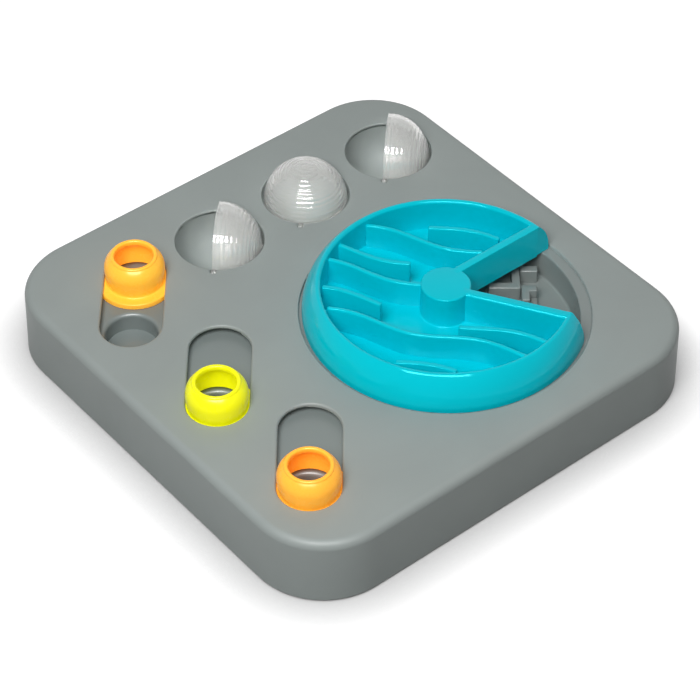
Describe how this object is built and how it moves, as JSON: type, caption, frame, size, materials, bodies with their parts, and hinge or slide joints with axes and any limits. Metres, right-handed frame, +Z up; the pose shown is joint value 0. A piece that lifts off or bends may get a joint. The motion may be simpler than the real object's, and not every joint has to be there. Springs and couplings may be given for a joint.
{
  "type": "dog puzzle feeder",
  "caption": "Square treat puzzle base with flip-open clear domes over bowls, sliding rings over pockets and a turning maze wheel with a wedge-shaped gap over a ribbed recess.",
  "frame": {"origin": "centre of the base at table level, under the feet", "axes": "+X along the front row of sliding rings, +Y from the front row to the back, +Z up"},
  "size_m": [0.3018, 0.3018, 0.0679],
  "materials": {
    "shell_grey": "fine satin grain",
    "ring_amber": "smooth gloss",
    "ring_yellow": "smooth gloss",
    "ring_orange": "smooth gloss",
    "dome_clear": "clear moulded plastic",
    "wheel_teal": "smooth gloss",
    "screw_steel": "zinc plated",
    "foot_rubber": "matte"
  },
  "bodies": {
    "base": {"top_shell": "shell_grey", "recess_well": "shell_grey", "bowl_front": "shell_grey", "bowl_middle": "shell_grey", "bowl_back": "shell_grey", "bottom_cover": "shell_grey", "track_left": "shell_grey", "track_middle": "shell_grey", "track_right": "shell_grey", "track_screws_left": "screw_steel", "track_screws_middle": "screw_steel", "track_screws_right": "screw_steel", "cover_screws": "screw_steel", "foot_front_left": "foot_rubber", "foot_front_right": "foot_rubber", "foot_back_left": "foot_rubber", "foot_back_right": "foot_rubber"},
    "wheel": {"maze_wheel": "wheel_teal", "wheel_washer": "screw_steel", "wheel_screw": "screw_steel"},
    "dome_front_body": {"dome_front": "dome_clear"},
    "dome_middle_body": {"dome_middle": "dome_clear"},
    "dome_back_body": {"dome_back": "dome_clear"},
    "ring_left_body": {"ring_left": "ring_amber"},
    "ring_middle_body": {"ring_middle": "ring_yellow"},
    "ring_right_body": {"ring_right": "ring_orange"}
  },
  "joints": [
    {"name": "wheel_turn", "type": "hinge", "parent": "base", "child": "wheel", "pos_m": [0.0405, 0.039, 0.045], "axis": [0, 0, 1], "continuous": true},
    {"name": "dome_front_flip", "type": "hinge", "parent": "base", "child": "dome_front_body", "pos_m": [-0.092, -0.026, 0.0418], "axis": [-0.7071, 0.7071, 0], "continuous": true},
    {"name": "dome_middle_flip", "type": "hinge", "parent": "base", "child": "dome_middle_body", "pos_m": [-0.092, 0.04035, 0.0418], "axis": [-0.7071, 0.7071, 0], "continuous": true},
    {"name": "dome_back_flip", "type": "hinge", "parent": "base", "child": "dome_back_body", "pos_m": [-0.092, 0.1067, 0.0418], "axis": [-0.7071, 0.7071, 0], "continuous": true},
    {"name": "ring_left_slide", "type": "slide", "parent": "base", "child": "ring_left_body", "axis": [0.7716, -0.6361, 0], "range_m": [-0.003, 0.042]},
    {"name": "ring_middle_slide", "type": "slide", "parent": "base", "child": "ring_middle_body", "axis": [0.7716, -0.6361, 0], "range_m": [-0.045, 0]},
    {"name": "ring_right_slide", "type": "slide", "parent": "base", "child": "ring_right_body", "axis": [0.7716, -0.6361, 0], "range_m": [-0.045, 0]}
  ]
}
